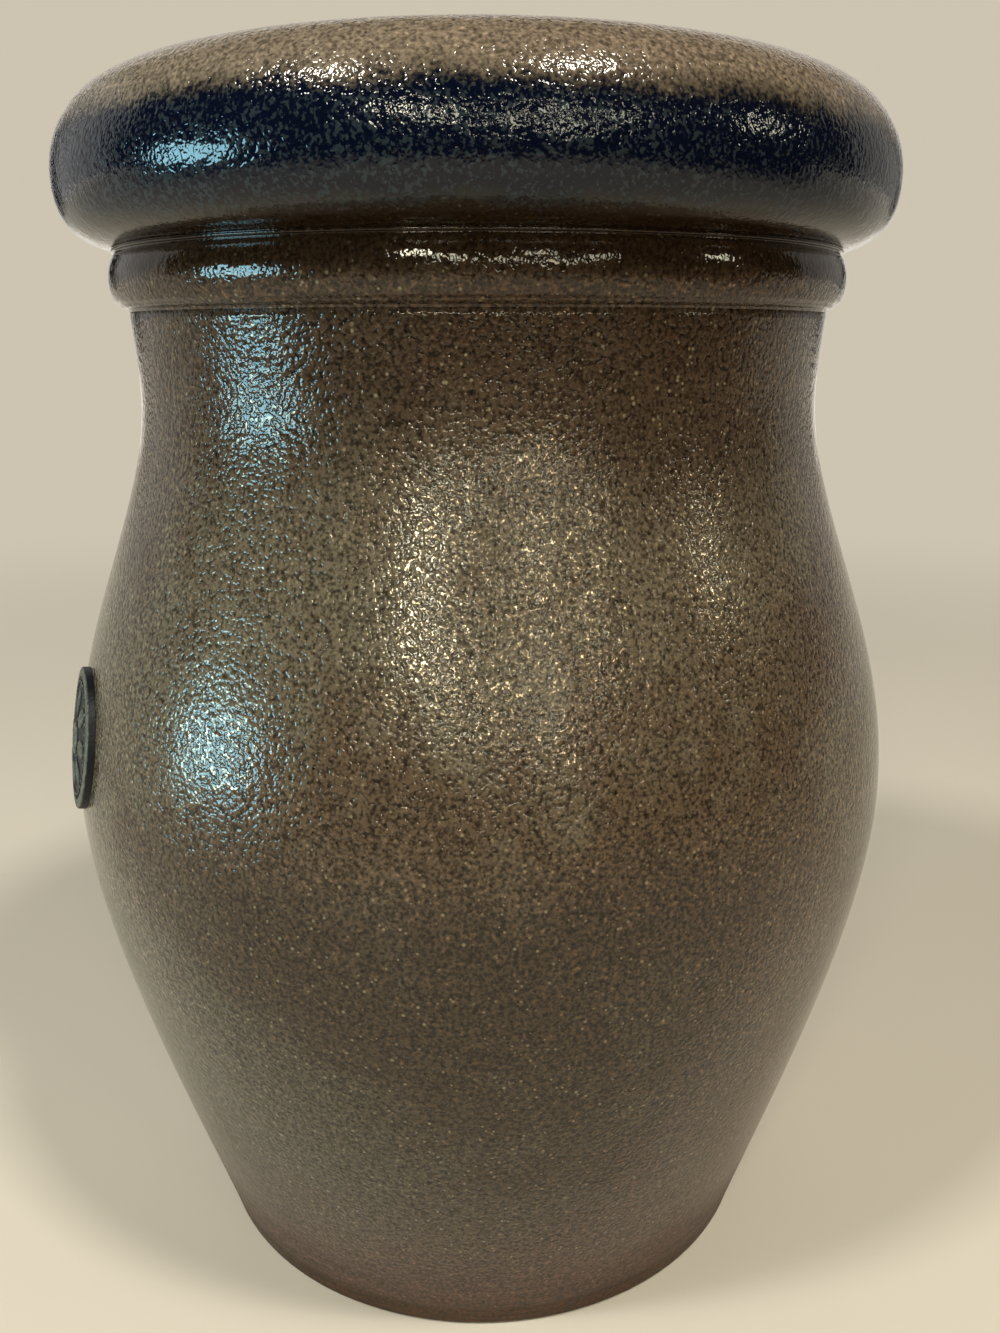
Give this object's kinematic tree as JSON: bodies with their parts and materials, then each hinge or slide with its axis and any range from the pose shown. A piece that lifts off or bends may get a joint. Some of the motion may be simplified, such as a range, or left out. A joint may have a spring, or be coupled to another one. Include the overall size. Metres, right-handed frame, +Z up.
{
  "type": "fermenting crock",
  "caption": "Thrown stoneware fermenting crock with a rolled rim, a waisted neck, an inset lid on an inner gallery, half-moon weights and a round medallion.",
  "frame": {"origin": "on the crock's axis at the level of the surface that it stands on", "axes": "+Z up along the crock's axis, -Y out of the front through the medallion, +X to the viewer's right when the front is faced"},
  "size_m": [0.187, 0.1885, 0.2648],
  "materials": {
    "salt_glaze": "salt-glazed grey-brown stoneware with orange-peel relief, iron specks and a fuzzy cobalt band round the rim",
    "cobalt_relief": "salt-glazed grey relief with cobalt pooled round its edge",
    "lid_glaze": "salt-glazed grey-brown stoneware, sandy and toasted at its edges",
    "bare_stoneware": "unglazed fired stoneware, matt and slightly gritty"
  },
  "bodies": {
    "crock": {"crock_body": "salt_glaze", "medallion": "cobalt_relief"},
    "lid": {"lid": "lid_glaze", "lid_knob": "lid_glaze"},
    "weight_front": {"weight_front": "bare_stoneware"},
    "weight_rear": {"weight_rear": "bare_stoneware"}
  },
  "joints": [
    {"name": "lid_lift", "type": "slide", "parent": "crock", "child": "lid", "axis": [0, 0, 1], "range_m": [0, 0.15]},
    {"name": "weight_front_lift", "type": "slide", "parent": "crock", "child": "weight_front", "axis": [0, 0, 1], "range_m": [0, 0.2]},
    {"name": "weight_rear_lift", "type": "slide", "parent": "crock", "child": "weight_rear", "axis": [0, 0, 1], "range_m": [0, 0.2]}
  ]
}
